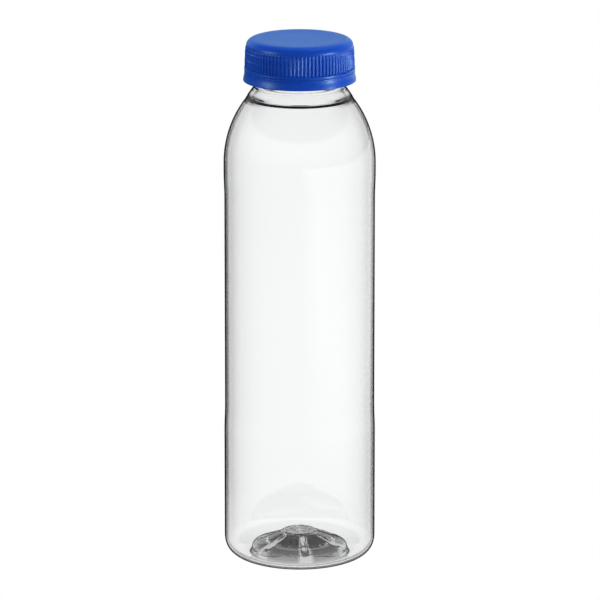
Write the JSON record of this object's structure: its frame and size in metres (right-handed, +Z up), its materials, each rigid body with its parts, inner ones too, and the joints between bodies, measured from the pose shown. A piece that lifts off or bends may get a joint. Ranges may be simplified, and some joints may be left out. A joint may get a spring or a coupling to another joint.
{
  "type": "round bottle with screw cap",
  "caption": "Clear round blow-moulded bottle with a ribbed blue screw cap, a tamper-evident band and a liner that seals the lip; holds and pours a drink.",
  "frame": {"origin": "on the bottle's axis, on the surface it stands on", "axes": "+Z up along the bottle's axis, from the base to the cap; the body is round, so X and Y are free"},
  "size_m": [0.0556, 0.0556, 0.1955],
  "materials": {
    "clear_pet": "gloss",
    "blue_closure": "satin",
    "white_foam": "matte"
  },
  "bodies": {
    "bottle": {"bottle": "clear_pet"},
    "liner": {"seal_liner": "white_foam"},
    "cap": {"cap_shell": "blue_closure"},
    "band": {"tamper_band": "blue_closure"}
  },
  "joints": [
    {"name": "cap_lift", "type": "slide", "parent": "bottle", "child": "liner", "axis": [0, 0, 1], "range_m": [0, 0.01429]},
    {"name": "cap_turn", "type": "hinge", "parent": "liner", "child": "cap", "pos_m": [0, 0, 0.19], "axis": [0, 0, 1], "range_deg": [0, 540]},
    {"name": "band_spin", "type": "hinge", "parent": "bottle", "child": "band", "pos_m": [0, 0, 0.18175], "axis": [0, 0, 1], "continuous": true}
  ],
  "couplings": [
    {"joint": "cap_turn", "follows": "cap_lift", "rad_per_m": 659.65}
  ]
}
